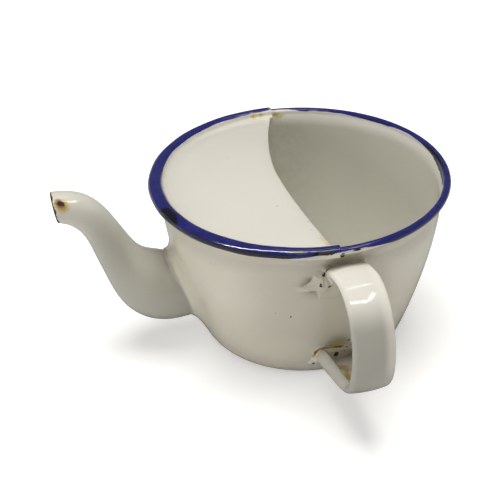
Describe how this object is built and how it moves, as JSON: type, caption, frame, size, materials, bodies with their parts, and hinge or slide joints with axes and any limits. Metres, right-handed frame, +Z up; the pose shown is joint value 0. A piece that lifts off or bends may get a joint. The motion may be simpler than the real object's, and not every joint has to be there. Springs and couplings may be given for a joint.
{
  "type": "enamelled invalid feeding cup",
  "caption": "Round enamelled steel feeding cup with a rolled rim, a fixed half cover, a gooseneck drinking spout and a strap handle.",
  "frame": {"origin": "centre of the flat base, on the table the cup stands on", "axes": "+Z up along the bowl's axis; the spout points along -X; the handle stands along -Y, at a right angle to the spout"},
  "size_m": [0.1324, 0.1253, 0.062],
  "materials": {
    "bowl_enamel": "glossy white vitreous enamel on pressed steel, cobalt blue on the rim, chipped to black in places",
    "cover_enamel": "glossy white vitreous enamel, cobalt blue where it wraps the rim, rust stained at both ends",
    "spout_enamel": "glossy white vitreous enamel with a bare dark steel edge at the tip",
    "handle_enamel": "glossy white vitreous enamel, rust stained inside the channel",
    "weld_enamel": "white vitreous enamel over lumpy welds, pitted and rust stained"
  },
  "bodies": {
    "root": {"bowl": "bowl_enamel", "half_cover": "cover_enamel", "spout_half_handle_side": "spout_enamel", "spout_half_far_side": "spout_enamel", "handle_strap": "handle_enamel", "spout_root_weld": "weld_enamel", "handle_top_weld": "weld_enamel", "handle_bottom_weld": "weld_enamel"}
  },
  "joints": []
}
